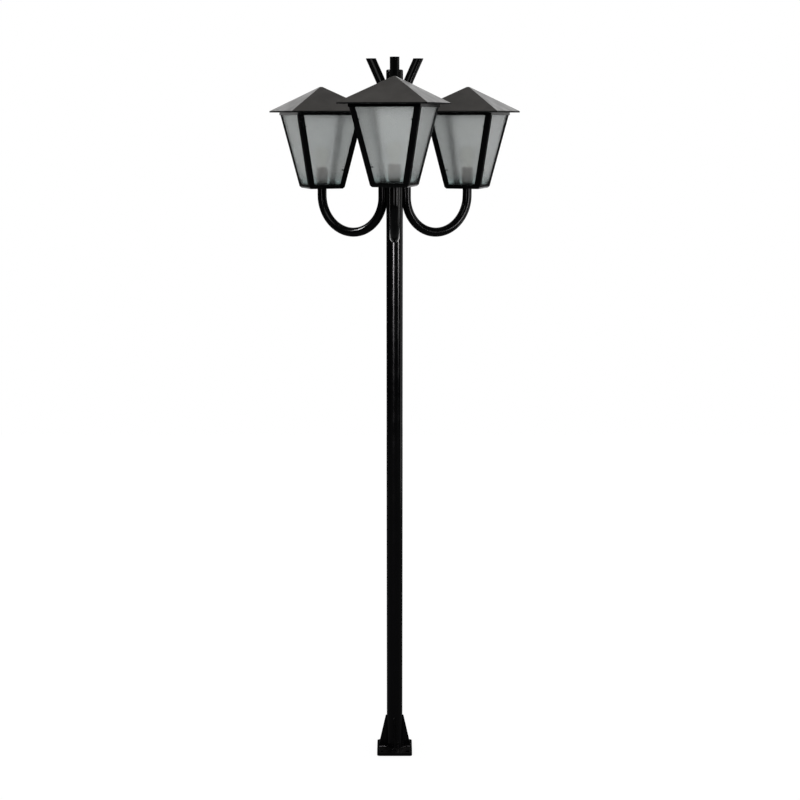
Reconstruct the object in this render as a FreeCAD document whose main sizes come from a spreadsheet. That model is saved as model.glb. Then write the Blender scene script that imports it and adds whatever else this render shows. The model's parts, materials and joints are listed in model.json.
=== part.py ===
"""Triple head lamp post: a flanged steel post, three bent tube arms and three four-sided lanterns.

Millimetres, +Z up.  The origin is on the ground, under the middle of the base plate, and the
front arm points along -Y.  Each lantern is drawn in a frame of its own, with its origin on the
arm's axis at the underside of the bottom tray, and is then placed on its arm.
"""
import FreeCAD, Part
import math
import os
import re
import Sketcher
from FreeCAD import Rotation, Vector

SIZES = (
    # post
    ("pole_outside", 60.3, "outer diameter of the post tube"),
    ("pole_wall", 3.0, "wall of the post tube"),
    ("pole_top_height", 2572.0, "ground to the top of the post's cap"),
    ("pole_cap_thickness", 8.0, "part of the cap that stands on the tube"),
    ("pole_cap_spigot", 18.0, "part of the cap inside the tube"),
    ("pole_cap_rounding", 5.0, "rounded rim of the cap"),
    # foot
    ("base_side", 135.0, "square base plate"),
    ("base_thickness", 12.0, "thickness of the base plate"),
    ("base_rounding", 10.0, "corner radius of the base plate"),
    ("anchor_spacing", 100.0, "distance between anchor holes"),
    ("anchor_hole", 14.0, "hole for an M12 anchor"),
    ("cable_hole", 40.0, "cable entry in the middle of the plate"),
    ("gusset_height", 130.0, "height of a stiffener above the plate"),
    ("gusset_foot", 32.0, "length of a stiffener along the plate"),
    ("gusset_thickness", 6.0, "plate thickness of a stiffener"),
    ("gusset_tip", 4.0, "blunt tips of a stiffener"),
    # arms
    ("arm_outside", 33.7, "outer diameter of an arm tube"),
    ("arm_wall", 2.0, "wall of an arm tube"),
    ("leg_gap", 1.8, "gap that the welds bridge between post and arm"),
    ("lantern_reach", 310.0, "post axis to lantern axis"),
    ("bend_drop", 578.0, "post's top down to the lowest point of an arm's centre line"),
    ("stem_length", 20.0, "straight end of a side arm above its U bend"),
    ("arm_rise", 40.0, "how far the arms' level tops stand above the post's top"),
    ("flare_length", 118.0, "arms' tops down to where they start to lean outwards"),
    ("flare_radius", 95.0, "bend radius of the flare"),
    ("flare_angle", 27.5, "lean of the flared end, degrees"),
    ("end_cap_thickness", 2.0, "plate that closes an arm's top"),
    ("weld_width", 10.0, "width of a weld seam"),
    ("weld_length", 46.0, "length of a weld seam"),
    ("weld_low_rise", 65.0, "top of the U bend to the middle of the lower seams"),
    ("weld_high_drop", 54.0, "start of the flare down to the middle of the upper seams"),
    # where the lanterns stand
    ("front_rise", 25.0, "how much longer the front arm's stem is"),
    ("front_lantern_angle", 16.25, "turn of the front lantern about its stem, degrees"),
    ("side_lantern_angle", 19.5, "turn of the other two lanterns about their stems, degrees"),
    # lantern body
    ("body_top", 250.0, "outer side of the body at the eave"),
    ("body_bottom", 132.0, "outer side of the body at the tray's underside"),
    ("body_height", 279.0, "tray's underside to the eave"),
    ("post_flange", 21.0, "flange width of a corner post"),
    ("post_sheet", 2.0, "sheet of the corner posts"),
    ("tray_height", 14.0, "height of the bottom tray"),
    ("tray_chamfer", 6.0, "bevel under the tray's rim"),
    ("tray_floor", 2.0, "sheet of the tray's floor"),
    ("tray_rim", 6.5, "width of the tray's hemmed rim"),
    ("rail_drop", 15.0, "depth of the top frame below the eave"),
    ("rail_sheet", 3.0, "web of the top frame"),
    ("rail_flange", 17.0, "inner flange of the top frame"),
    ("pane_thickness", 3.0, "frosted glass"),
    ("pane_play", 0.3, "play of a pane in its seat"),
    ("pane_corner_play", 0.6, "space between panes at a corner"),
    ("clip_height", 4.5, "height of a pane clip"),
    ("clip_short", 4.0, "reach of an upper clip over the glass"),
    ("clip_long", 8.5, "reach of the lower clip over the glass"),
    ("clip_drop", 40.0, "top frame down to the upper clips"),
    ("clip_rise", 54.0, "tray's rim up to the lower clip"),
    # roof
    ("roof_side", 310.0, "side of the roof at the eave"),
    ("roof_rise", 86.0, "eave to apex"),
    ("roof_tip", 9.0, "flat of the folded apex"),
    ("roof_sheet", 1.6, "roof sheet"),
    ("roof_lip", 5.0, "turned down edge of the roof"),
    ("collar_depth", 12.0, "how deep the roof's collar reaches into the top frame"),
    ("collar_play", 1.2, "play of the collar in the top frame"),
    ("roof_play", 0.3, "space between the roof and the top frame"),
    # lamp holder and lamp
    ("plug_flange", 6.0, "head of the plug in the arm's end"),
    ("plug_spigot", 22.0, "part of the plug inside the arm"),
    ("fit", 0.1, "radial play of pieces that are pushed together"),
    ("nipple_outside", 10.0, "threaded tube through tray and plug"),
    ("nipple_bore", 7.0, "cable way of the threaded tube"),
    ("nipple_grip", 9.0, "length of thread in the plug and in the holder"),
    ("nut_flats", 16.0, "lock nut across its flats"),
    ("nut_thickness", 5.0, "thickness of the lock nut"),
    ("plinth_outside", 37.0, "cup that carries the lamp holder"),
    ("plinth_sheet", 1.5, "sheet of that cup"),
    ("plinth_height", 18.0, "height of that cup"),
    ("holder_outside", 43.0, "porcelain lamp holder"),
    ("holder_height", 56.0, "height of the lamp holder"),
    ("holder_floor", 26.0, "porcelain under the lamp's cap"),
    ("holder_bevel", 4.0, "bevels of the lamp holder"),
    ("shell_bore", 27.4, "bore of the threaded contact shell"),
    ("shell_wall", 0.8, "sheet of the contact shell"),
    ("shell_length", 27.0, "length of the contact shell"),
    ("lamp_cap_outside", 26.4, "threaded cap of the lamp"),
    ("lamp_cap_length", 27.0, "length of that cap"),
    ("lamp_tip", 9.0, "diameter of the cap's end contact"),
    ("lamp_tip_length", 3.0, "length of the cap's end contact"),
    ("lamp_seat", 0.3, "space under the end contact"),
    ("lamp_bulb", 60.0, "diameter of the lamp's bulb"),
    ("lamp_length", 77.0, "height of the glass above the cap"),
    ("lamp_glass", 1.0, "glass of the lamp"),
    ("lamp_shoulder", 20.5, "where neck and bulb meet, degrees under the equator"),
)

# Sizes that follow from the ones above, written once and used in many places.
POLE_RADIUS = "pole_outside / 2"
LEG_RADIUS = "(pole_outside / 2 + leg_gap + arm_outside / 2)"
BEND_RADIUS = f"((lantern_reach - {LEG_RADIUS}) / 2)"
BEND_HEIGHT = f"(pole_top_height - bend_drop + {BEND_RADIUS})"
LANTERN_HEIGHT = f"({BEND_HEIGHT} + stem_length + plug_flange)"
ARM_TOP = "(pole_top_height + arm_rise)"
FLARE_START = f"({ARM_TOP} - flare_length)"
FLARE_END_X = f"({LEG_RADIUS} + flare_radius * (1 - cos(flare_angle)))"
FLARE_END_Z = f"({FLARE_START} + flare_radius * sin(flare_angle))"
TUBE_TOP = f"({ARM_TOP} - end_cap_thickness)"
SLANT = "((body_top - body_bottom) / 2 / body_height)"
PANE_OUTER = "(post_sheet + pane_play)"
PANE_INNER = "(post_sheet + pane_play + pane_thickness)"
RAIL_BOTTOM = "(body_height - rail_drop)"
ROOF_PITCH = "(roof_rise / ((roof_side - roof_tip) / 2))"
ROOF_DROP = f"(roof_sheet * sqrt(1 + {ROOF_PITCH} ^ 2))"
ROOF_BASE = "body_height"
RAIL_TOP = f"({ROOF_BASE} + (roof_side - body_top) / 2 * {ROOF_PITCH} - {ROOF_DROP} - roof_play)"
COLLAR_HALF = "(body_top / 2 - rail_sheet - collar_play)"
COLLAR_TOP = f"({ROOF_BASE} + (roof_side / 2 - {COLLAR_HALF}) * {ROOF_PITCH} - {ROOF_DROP})"
PLINTH_TOP = "(tray_floor + plinth_height)"
HOLDER_TOP = f"({PLINTH_TOP} + holder_height)"
HOLDER_SEAT = f"({PLINTH_TOP} + holder_floor)"
SHELL_RADIUS = "(shell_bore / 2 + shell_wall)"
LAMP_BOTTOM = f"({HOLDER_SEAT} + lamp_seat)"
LAMP_CAP_BASE = f"({LAMP_BOTTOM} + lamp_tip_length)"
LAMP_CAP_TOP = f"({LAMP_CAP_BASE} + lamp_cap_length)"
LAMP_CENTRE = f"({LAMP_CAP_TOP} + lamp_length - lamp_bulb / 2)"

ARM_COUNT = 3
FRONT_DIRECTION = -90.0
# lantern name: place in the ring of arms, rise, turn about its stem, side of its lower clips
LANTERNS = {
    "front": (0, "front_rise", "-front_lantern_angle", -1),
    "right": (1, "0", "-side_lantern_angle", -1),
    "left": (2, "0", "side_lantern_angle", 1),
}
SIDES = {
    "front": ("XZ_Plane", 1), "back": ("XZ_Plane", -1), "right": ("YZ_Plane", 1), "left": ("YZ_Plane", -1),
}

doc = FreeCAD.newDocument("lamp_post")
sheet = doc.addObject("Spreadsheet::Sheet", "Sizes")
for row, (alias, number, meaning) in enumerate(SIZES, start=1):
    sheet.set(f"A{row}", meaning)
    sheet.set(f"B{row}", str(number))
    sheet.setAlias(f"B{row}", alias)
doc.recompute()
ALIASES = {alias for alias, number, meaning in SIZES}
nodes = []


def bound(text):
    """Turn an expression of aliases into one that points at the spreadsheet's cells."""
    def point(word):
        return "Sizes." + word[0] if word[0] in ALIASES else word[0]
    return re.sub(r"[a-z_]+", point, str(text))


def value(text):
    """Give the present value of an expression of aliases."""
    return float(sheet.evalExpression(bound(text)))


def new_body(label, own_file=True):
    """Start a sub-part, named as its file will be, or one copy of a piece that shares a file."""
    body = doc.addObject("PartDesign::Body", label)
    body.Label = label
    body.AllowCompound = True
    if own_file:
        nodes.append(body)
    return body


def group(label, pieces):
    """Keep alike pieces together in one file, as separate solids."""
    compound = doc.addObject("Part::Compound", label)
    compound.Links = pieces
    compound.Label = label
    nodes.append(compound)
    return compound


def plane(body, role):
    """Find one of a body's own origin planes or axes."""
    return next(feature for feature in body.Origin.OriginFeatures if feature.Role == role)


def attach(feature, body, role, offset="0"):
    """Lay a feature on an origin plane, moved along the plane's normal."""
    feature.AttachmentSupport = (plane(body, role), [""])
    feature.MapMode = "FlatFace"
    feature.setExpression("AttachmentOffset.Base.z", bound(offset))
    return feature


def new_sketch(body, name, role, offset="0"):
    """Make a sketch on an origin plane of its body."""
    return attach(body.newObject("Sketcher::SketchObject", name), body, role, offset)


def pin(sketch, geometry, point, across, up):
    """Dimension a point of a sketch from the origin."""
    for kind, size in (("DistanceX", across), ("DistanceY", up)):
        if size is not None:
            index = sketch.addConstraint(Sketcher.Constraint(kind, -1, 1, geometry, point, value(size)))
            sketch.setExpression(f"Constraints[{index}]", bound(size))


def draw_polygon(sketch, points):
    """Draw a closed outline whose corners are dimensioned one by one."""
    corners = [Vector(value(across), value(up), 0) for across, up in points]
    count = len(corners)
    lines = [
        sketch.addGeometry(Part.LineSegment(corners[i], corners[(i + 1) % count])) for i in range(count)
    ]
    for i in range(count):
        sketch.addConstraint(Sketcher.Constraint("Coincident", lines[i], 2, lines[(i + 1) % count], 1))
    for line, (across, up) in zip(lines, points):
        pin(sketch, line, 1, across, up)


def draw_circle(sketch, diameter, across="0", up="0"):
    """Draw a circle with a dimensioned centre and diameter."""
    centre = Vector(value(across), value(up), 0)
    index = sketch.addGeometry(Part.Circle(centre, Vector(0, 0, 1), value(diameter) / 2))
    pin(sketch, index, 3, across, up)
    size = sketch.addConstraint(Sketcher.Constraint("Diameter", index, value(diameter)))
    sketch.setExpression(f"Constraints[{size}]", bound(diameter))


def pad(body, sketch, length, midplane=False):
    """Pad a sketch along its normal."""
    feature = body.newObject("PartDesign::Pad", "pad")
    feature.Profile = sketch
    feature.Midplane = midplane
    feature.setExpression("Length", bound(length))
    return feature


def pocket(body, sketch, upwards=False):
    """Cut a sketch right through, down from its plane or up from it."""
    feature = body.newObject("PartDesign::Pocket", "pocket")
    feature.Profile = sketch
    feature.Type = "ThroughAll"
    feature.Reversed = upwards
    return feature


def turn(body, points):
    """Turn an outline of (radius, height) points about the body's Z axis."""
    sketch = new_sketch(body, "outline", "XZ_Plane")
    draw_polygon(sketch, points)
    feature = body.newObject("PartDesign::Revolution", "turned")
    feature.Profile = sketch
    feature.ReferenceAxis = (sketch, ["V_Axis"])
    feature.Angle = 360
    return feature


def repeat_round(body, features, count):
    """Repeat features about the body's Z axis and make the copies count."""
    pattern = body.newObject("PartDesign::PolarPattern", "pattern")
    pattern.Originals = features
    pattern.Axis = (plane(body, "Z_Axis"), [""])
    pattern.Angle = 360
    pattern.Occurrences = count
    body.Tip = pattern
    return pattern


def fillet(body, base, radius, wanted):
    """Round those edges of a feature that a test picks."""
    doc.recompute()
    names = [f"Edge{i}" for i, edge in enumerate(base.Shape.Edges, start=1) if wanted(edge)]
    feature = body.newObject("PartDesign::Fillet", "rounding")
    feature.Base = (base, names)
    feature.setExpression("Radius", bound(radius))
    return feature


def wedge(body, kind, low, high, low_box, high_box, role="XZ_Plane"):
    """Add or cut a block between two heights.

    Each box is (least across, most across, least out, most out): across runs along the plane,
    and out along its normal.
    """
    feature = attach(body.newObject("PartDesign::" + kind + "Wedge", kind.lower()), body, role)
    limits = {"Ymin": low, "Ymax": high}
    limits.update(zip(("Xmin", "Xmax", "Zmin", "Zmax"), low_box))
    limits.update(zip(("X2min", "X2max", "Z2min", "Z2max"), high_box))
    for name, size in limits.items():
        setattr(feature, name, value(size))
    for name, size in limits.items():
        feature.setExpression(name, bound(size))
    return feature


def square(half):
    """Give the four limits of a square about the axis."""
    return (f"-({half})", half, f"-({half})", half)


def place(body, across="0", back="0", up="0", angle="0"):
    """Put a body at its place, turned about the vertical."""
    body.setExpression("Placement.Rotation.Axis.x", "0")
    body.setExpression("Placement.Rotation.Axis.y", "0")
    body.setExpression("Placement.Rotation.Axis.z", "1")
    body.setExpression("Placement.Rotation.Angle", bound(angle))
    for axis, size in (("x", across), ("y", back), ("z", up)):
        body.setExpression("Placement.Base." + axis, bound(size))


def direction(place_in_ring):
    """Give an arm's direction, in degrees from +X."""
    return FRONT_DIRECTION + 360.0 / ARM_COUNT * place_in_ring


def body_half(height):
    """Give half the outer side of a lantern's body at a height."""
    return f"(body_bottom / 2 + ({height}) * {SLANT})"


# ---------------------------------------------------------------- post and foot

def make_base_plate():
    """Square plate with four anchor holes and a cable entry."""
    body = new_body("base_plate")
    sketch = new_sketch(body, "plate", "XY_Plane")
    half = "base_side / 2"
    draw_polygon(sketch, [(f"-{half}", f"-{half}"), (half, f"-{half}"), (half, half), (f"-{half}", half)])
    plate = pad(body, sketch, "base_thickness")
    fillet(body, plate, "base_rounding", lambda edge: abs(edge.tangentAt(edge.FirstParameter).z) > 0.9)
    anchor = new_sketch(body, "anchor", "XY_Plane", "base_thickness")
    draw_circle(anchor, "anchor_hole", "anchor_spacing / 2", "anchor_spacing / 2")
    repeat_round(body, [pocket(body, anchor)], 4)
    entry = new_sketch(body, "cable_entry", "XY_Plane", "base_thickness")
    draw_circle(entry, "cable_hole")
    body.Tip = pocket(body, entry)


def make_gussets():
    """Four triangular stiffeners between plate and post."""
    body = new_body("base_gussets")
    sketch = new_sketch(body, "gusset", "XZ_Plane")
    draw_polygon(sketch, [
        (POLE_RADIUS, "base_thickness"),
        (f"{POLE_RADIUS} + gusset_foot", "base_thickness"),
        (f"{POLE_RADIUS} + gusset_foot", "base_thickness + gusset_tip"),
        (f"{POLE_RADIUS} + gusset_tip", "base_thickness + gusset_height"),
        (POLE_RADIUS, "base_thickness + gusset_height"),
    ])
    repeat_round(body, [pad(body, sketch, "gusset_thickness", midplane=True)], 4)


def make_pole():
    """Post tube and the cap in its top."""
    body = new_body("pole_tube")
    sketch = new_sketch(body, "ring", "XY_Plane", "base_thickness")
    draw_circle(sketch, "pole_outside")
    draw_circle(sketch, "pole_outside - 2 * pole_wall")
    pad(body, sketch, "pole_top_height - pole_cap_thickness - base_thickness")
    cap = new_body("pole_cap")
    seat = "pole_top_height - pole_cap_thickness"
    spigot = f"{POLE_RADIUS} - pole_wall - fit"
    turned = turn(cap, [
        ("0", f"{seat} - pole_cap_spigot"),
        (spigot, f"{seat} - pole_cap_spigot"),
        (spigot, seat),
        (POLE_RADIUS, seat),
        (POLE_RADIUS, "pole_top_height"),
        ("0", "pole_top_height"),
    ])
    rim = value(POLE_RADIUS)
    top = value("pole_top_height")
    fillet(cap, turned, "pole_cap_rounding",
           lambda edge: edge.Length > 6 * rim and edge.BoundBox.ZMin > top - rim / 100)


# ---------------------------------------------------------------- arms

def make_arm(name, place_in_ring, rise):
    """One tube: flared top, straight leg along the post, U bend and stem up to the lantern."""
    body = new_body(name + "_arm")
    path = new_sketch(body, "centre_line", "XZ_Plane")
    leg = value(LEG_RADIUS)
    bend = value(BEND_RADIUS)
    reach = value("lantern_reach")
    bend_height = value(BEND_HEIGHT)
    flare_start = value(FLARE_START)
    flare_radius = value("flare_radius")
    lean = math.radians(value("flare_angle"))
    flare_end = Vector(value(FLARE_END_X), value(FLARE_END_Z), 0)
    path_top = f"({TUBE_TOP} + arm_outside)"
    path_top_x = f"({FLARE_END_X} + ({path_top} - {FLARE_END_Z}) * tan(flare_angle))"
    stem_top = f"({LANTERN_HEIGHT} + {rise} - plug_flange)"
    up = Vector(0, 0, 1)
    flare_arc = Part.Circle(Vector(leg + flare_radius, flare_start, 0), up, flare_radius)
    low_arc = Part.Circle(Vector(leg + bend, bend_height, 0), up, bend)
    path.addGeometry(Part.LineSegment(Vector(value(path_top_x), value(path_top), 0), flare_end))
    path.addGeometry(Part.ArcOfCircle(flare_arc, math.pi - lean, math.pi))
    path.addGeometry(Part.LineSegment(Vector(leg, flare_start, 0), Vector(leg, bend_height, 0)))
    path.addGeometry(Part.ArcOfCircle(low_arc, math.pi, 2 * math.pi))
    path.addGeometry(Part.LineSegment(Vector(reach, bend_height, 0), Vector(reach, value(stem_top), 0)))
    for first, end, second, start in ((0, 2, 1, 1), (1, 2, 2, 1), (2, 2, 3, 1), (3, 2, 4, 1)):
        path.addConstraint(Sketcher.Constraint("Coincident", first, end, second, start))
    pin(path, 0, 1, path_top_x, path_top)
    pin(path, 0, 2, FLARE_END_X, None)
    pin(path, 1, 3, f"{LEG_RADIUS} + flare_radius", FLARE_START)
    pin(path, 2, 1, LEG_RADIUS, FLARE_START)
    pin(path, 2, 2, LEG_RADIUS, BEND_HEIGHT)
    pin(path, 3, 3, f"{LEG_RADIUS} + {BEND_RADIUS}", BEND_HEIGHT)
    pin(path, 4, 1, None, BEND_HEIGHT)
    pin(path, 4, 2, "lantern_reach", stem_top)
    ring = new_sketch(body, "ring", "XY_Plane", stem_top)
    draw_circle(ring, "arm_outside", "lantern_reach")
    draw_circle(ring, "arm_outside - 2 * arm_wall", "lantern_reach")
    tube = body.newObject("PartDesign::AdditivePipe", "tube")
    tube.Profile = ring
    tube.Spine = (path, ["Edge5", "Edge4", "Edge3", "Edge2", "Edge1"])
    level = new_sketch(body, "level_end", "XY_Plane", TUBE_TOP)
    draw_circle(level, "2 * lantern_reach", path_top_x)
    pocket(body, level, upwards=True)
    place(body, angle=direction(place_in_ring))


def make_end_caps():
    """Three plates that close the level tops of the arms."""
    body = new_body("arm_end_caps")
    plate = new_sketch(body, "cap", "XY_Plane", TUBE_TOP)
    centre = Vector(value(f"{FLARE_END_X} + ({TUBE_TOP} - {FLARE_END_Z}) * tan(flare_angle)"), 0, 0)
    long_half = value("arm_outside / 2 / cos(flare_angle)")
    short_half = value("arm_outside / 2")
    oval = Part.Ellipse(centre + Vector(long_half, 0, 0), centre + Vector(0, short_half, 0), centre)
    plate.addGeometry(oval)
    plate.exposeInternalGeometry(0)
    # the exposed lines 1 and 2 are the oval's long and short axes
    pin(plate, 0, 3, f"{FLARE_END_X} + ({TUBE_TOP} - {FLARE_END_Z}) * tan(flare_angle)", "0")
    long_axis = plate.addConstraint(Sketcher.Constraint("Distance", 1, 2 * long_half))
    plate.setExpression(f"Constraints[{long_axis}]", bound("arm_outside / cos(flare_angle)"))
    short_axis = plate.addConstraint(Sketcher.Constraint("Distance", 2, value("arm_outside")))
    plate.setExpression(f"Constraints[{short_axis}]", bound("arm_outside"))
    plate.addConstraint(Sketcher.Constraint("Horizontal", 1))
    repeat_round(body, [pad(body, plate, "end_cap_thickness")], ARM_COUNT)
    place(body, angle=FRONT_DIRECTION)


def make_arm_welds():
    """Six weld seams, which fill the gap between the post and the arms' legs."""
    seams = []
    for height in (f"{BEND_HEIGHT} + weld_low_rise", f"{FLARE_START} - weld_high_drop"):
        seam = doc.addObject("Part::Box", "seam")
        seam.setExpression("Length", bound("leg_gap + arm_outside / 2"))
        seam.setExpression("Width", bound("weld_width"))
        seam.setExpression("Height", bound("weld_length"))
        seam.setExpression("Placement.Base.x", bound(POLE_RADIUS))
        seam.setExpression("Placement.Base.y", bound("-weld_width / 2"))
        seam.setExpression("Placement.Base.z", bound(f"{height} - weld_length / 2"))
        seams.append(seam)
    both = doc.addObject("Part::Compound", "seam_pair")
    both.Links = seams
    leg = doc.addObject("Part::Cylinder", "leg_space")
    leg.setExpression("Radius", bound("arm_outside / 2"))
    leg.setExpression("Height", bound(ARM_TOP))
    leg.setExpression("Placement.Base.x", bound(LEG_RADIUS))
    filled = doc.addObject("Part::Cut", "seams_at_leg")
    filled.Base = both
    filled.Tool = leg
    doc.recompute()
    ring = []
    for place_in_ring in range(ARM_COUNT):
        copy = doc.addObject("Part::Compound", "seams_on_arm")
        copy.Links = [filled]
        copy.Placement.Rotation = Rotation(Vector(0, 0, 1), direction(place_in_ring))
        ring.append(copy)
    group("arm_welds", ring)


# ---------------------------------------------------------------- lantern

def make_tray(name):
    """Pressed tray under the glass, with a hemmed rim and a hole for the threaded tube."""
    body = new_body(name + "_bottom_tray")
    bevel = body_half("tray_chamfer")
    top = body_half("tray_height")
    wedge(body, "Additive", "0", "tray_chamfer", square(f"{bevel} - tray_chamfer"), square(bevel))
    wedge(body, "Additive", "tray_chamfer", "tray_height", square(bevel), square(top))
    inner = f"{bevel} - tray_rim"
    wedge(body, "Subtractive", "tray_floor", "tray_height", square(inner), square(f"{top} - tray_rim"))
    hole = new_sketch(body, "hole", "XY_Plane", "tray_floor")
    draw_circle(hole, "nipple_outside + 2 * fit")
    pocket(body, hole)
    return body


def make_corner_posts(name):
    """Four folded corner posts, left where a hollow body has lost its four windows."""
    body = new_body(name + "_corner_posts")
    low, high = "tray_height", RAIL_BOTTOM
    wide, slim = body_half(high), body_half(low)
    wedge(body, "Additive", low, high, square(slim), square(wide))
    wedge(body, "Subtractive", low, high, square(f"{slim} - post_sheet"), square(f"{wide} - post_sheet"))
    for role in ("XZ_Plane", "YZ_Plane"):
        low_gap, high_gap = f"{slim} - post_flange", f"{wide} - post_flange"
        through = ("-body_top", "body_top")
        low_box = (f"-({low_gap})", low_gap) + through
        high_box = (f"-({high_gap})", high_gap) + through
        wedge(body, "Subtractive", low, high, low_box, high_box, role)
    return body


def make_top_frame(name):
    """Square frame of angle section that the glass ends under and the roof stands on."""
    body = new_body(name + "_top_frame")
    outer = "body_top / 2"
    web = f"{outer} - rail_sheet"
    opening = f"{outer} - rail_sheet - rail_flange"
    wedge(body, "Additive", RAIL_BOTTOM, RAIL_TOP, square(outer), square(outer))
    flange_top = f"{RAIL_BOTTOM} + rail_sheet"
    wedge(body, "Subtractive", flange_top, RAIL_TOP, square(web), square(web))
    wedge(body, "Subtractive", RAIL_BOTTOM, RAIL_TOP, square(opening), square(opening))
    return body


def make_pane(name, side):
    """One trapezoid of frosted glass, behind the flanges of two corner posts."""
    body = new_body(f"{name}_pane_{side}")
    role, sign = SIDES[side]
    low, high = "tray_height + pane_play", f"{RAIL_BOTTOM} - pane_play"
    boxes = []
    for height in (low, high):
        half = body_half(height)
        reach = f"({half} - {PANE_INNER} - pane_corner_play)"
        outs = [f"{half} - {PANE_INNER}", f"{half} - {PANE_OUTER}"]
        if sign < 0:
            outs = [f"-({size})" for size in reversed(outs)]
        boxes.append((f"-{reach}", reach) + tuple(outs))
    wedge(body, "Additive", low, high, boxes[0], boxes[1], role)
    return body


def make_pane_clips(name, low_side):
    """Twelve small tabs on the edges of the corner posts, three over each pane."""
    body = new_body(name + "_pane_clips")
    tabs = []
    upper, lower = f"{RAIL_BOTTOM} - clip_drop", "tray_height + clip_rise"
    spots = ((upper, "clip_short", 1), (upper, "clip_short", -1), (lower, "clip_long", low_side))
    for middle, reach, sign in spots:
        boxes = []
        for height in (f"{middle} - clip_height / 2", f"{middle} + clip_height / 2"):
            half = body_half(height)
            span = [f"{half} - post_flange - {reach}", f"{half} - post_flange"]
            if sign < 0:
                span = [f"-({size})" for size in reversed(span)]
            boxes.append(tuple(span) + (f"{half} - post_sheet", half))
        low, high = f"{middle} - clip_height / 2", f"{middle} + clip_height / 2"
        tabs.append(wedge(body, "Additive", low, high, boxes[0], boxes[1]))
    repeat_round(body, tabs, 4)
    return body


def make_roof(name):
    """Folded pyramid of sheet with a turned down edge."""
    body = new_body(name + "_roof")
    half, tip = "roof_side / 2", "roof_tip / 2"
    apex = f"{ROOF_BASE} + roof_rise"
    lip = f"{ROOF_BASE} - roof_lip"
    wedge(body, "Additive", lip, ROOF_BASE, square(half), square(half))
    wedge(body, "Additive", ROOF_BASE, apex, square(half), square(tip))
    # the hollow is the same pyramid, lower by the sheet's own height along the vertical
    inner = f"{half} - roof_sheet"
    inner_base = f"{ROOF_BASE} + roof_sheet * {ROOF_PITCH} - {ROOF_DROP}"
    wedge(body, "Subtractive", lip, inner_base, square(inner), square(inner))
    wedge(body, "Subtractive", inner_base, f"{apex} - {ROOF_DROP}", square(inner), square(tip))
    return body


def make_roof_collar(name):
    """Square band under the roof that drops into the top frame."""
    body = new_body(name + "_roof_collar")
    low = f"{RAIL_TOP} - collar_depth"
    inner = f"{COLLAR_HALF} - roof_sheet"
    wedge(body, "Additive", low, COLLAR_TOP, square(COLLAR_HALF), square(COLLAR_HALF))
    wedge(body, "Subtractive", low, COLLAR_TOP, square(inner), square(inner))
    return body


def make_stem_plug(name):
    """Plug in the arm's upper end, which the tray stands on."""
    body = new_body(name + "_stem_plug")
    bore = "nipple_outside / 2 + fit"
    spigot = "arm_outside / 2 - arm_wall - fit"
    turn(body, [
        (bore, "0"),
        ("arm_outside / 2", "0"),
        ("arm_outside / 2", "-plug_flange"),
        (spigot, "-plug_flange"),
        (spigot, "-plug_flange - plug_spigot"),
        (bore, "-plug_flange - plug_spigot"),
    ])
    return body


def make_nipple(name):
    """Hollow threaded tube that ties plug, tray and lamp holder together."""
    body = new_body(name + "_threaded_nipple", own_file=False)
    low, high = "-plug_flange - nipple_grip", f"{PLINTH_TOP} + nipple_grip"
    outer, inner = "nipple_outside / 2", "nipple_bore / 2"
    turn(body, [(inner, low), (outer, low), (outer, high), (inner, high)])
    return body


def make_lock_nut(name):
    """Hexagon nut that pulls the tray down on the plug."""
    body = new_body(name + "_lock_nut", own_file=False)
    sketch = new_sketch(body, "hexagon", "XY_Plane", "tray_floor")
    corner = "nut_flats / 2 / cos(30)"
    draw_polygon(sketch, [(f"{corner} * cos({60 * i})", f"{corner} * sin({60 * i})") for i in range(6)])
    draw_circle(sketch, "nipple_outside + 2 * fit")
    pad(body, sketch, "nut_thickness")
    return body


def make_plinth(name):
    """Inverted steel cup over the lock nut, under the lamp holder."""
    body = new_body(name + "_holder_plinth")
    outer = "plinth_outside / 2"
    bore = "nipple_outside / 2 + fit"
    turn(body, [
        (f"{outer} - plinth_sheet", "tray_floor"),
        (outer, "tray_floor"),
        (outer, PLINTH_TOP),
        (bore, PLINTH_TOP),
        (bore, f"{PLINTH_TOP} - plinth_sheet"),
        (f"{outer} - plinth_sheet", f"{PLINTH_TOP} - plinth_sheet"),
    ])
    return body


def make_lamp_holder(name):
    """Porcelain holder with a threaded foot and a bore for the contact shell."""
    body = new_body(name + "_lamp_holder")
    outer = "holder_outside / 2"
    foot = "plinth_outside / 2"
    bore = f"{SHELL_RADIUS} + fit"
    thread = "nipple_outside / 2 + fit"
    turn(body, [
        (thread, PLINTH_TOP),
        (foot, PLINTH_TOP),
        (outer, f"{PLINTH_TOP} + holder_bevel"),
        (outer, f"{HOLDER_TOP} - holder_bevel / 2"),
        (f"{outer} - holder_bevel / 2", HOLDER_TOP),
        (bore, HOLDER_TOP),
        (bore, HOLDER_SEAT),
        ("0", HOLDER_SEAT),
        ("0", f"{PLINTH_TOP} + nipple_grip + fit"),
        (thread, f"{PLINTH_TOP} + nipple_grip + fit"),
    ])
    return body


def make_contact_shell(name):
    """Threaded sleeve in the lamp holder."""
    body = new_body(name + "_contact_shell")
    inner = "shell_bore / 2"
    top = f"{HOLDER_SEAT} + shell_length"
    turn(body, [(inner, HOLDER_SEAT), (SHELL_RADIUS, HOLDER_SEAT), (SHELL_RADIUS, top), (inner, top)])
    return body


def make_lamp_cap(name):
    """Threaded cap of the lamp, with its end contact."""
    body = new_body(name + "_lamp_cap")
    outer, tip = "lamp_cap_outside / 2", "lamp_tip / 2"
    turn(body, [
        ("0", LAMP_BOTTOM),
        (tip, LAMP_BOTTOM),
        (outer, LAMP_CAP_BASE),
        (outer, LAMP_CAP_TOP),
        ("0", LAMP_CAP_TOP),
    ])
    return body


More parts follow.
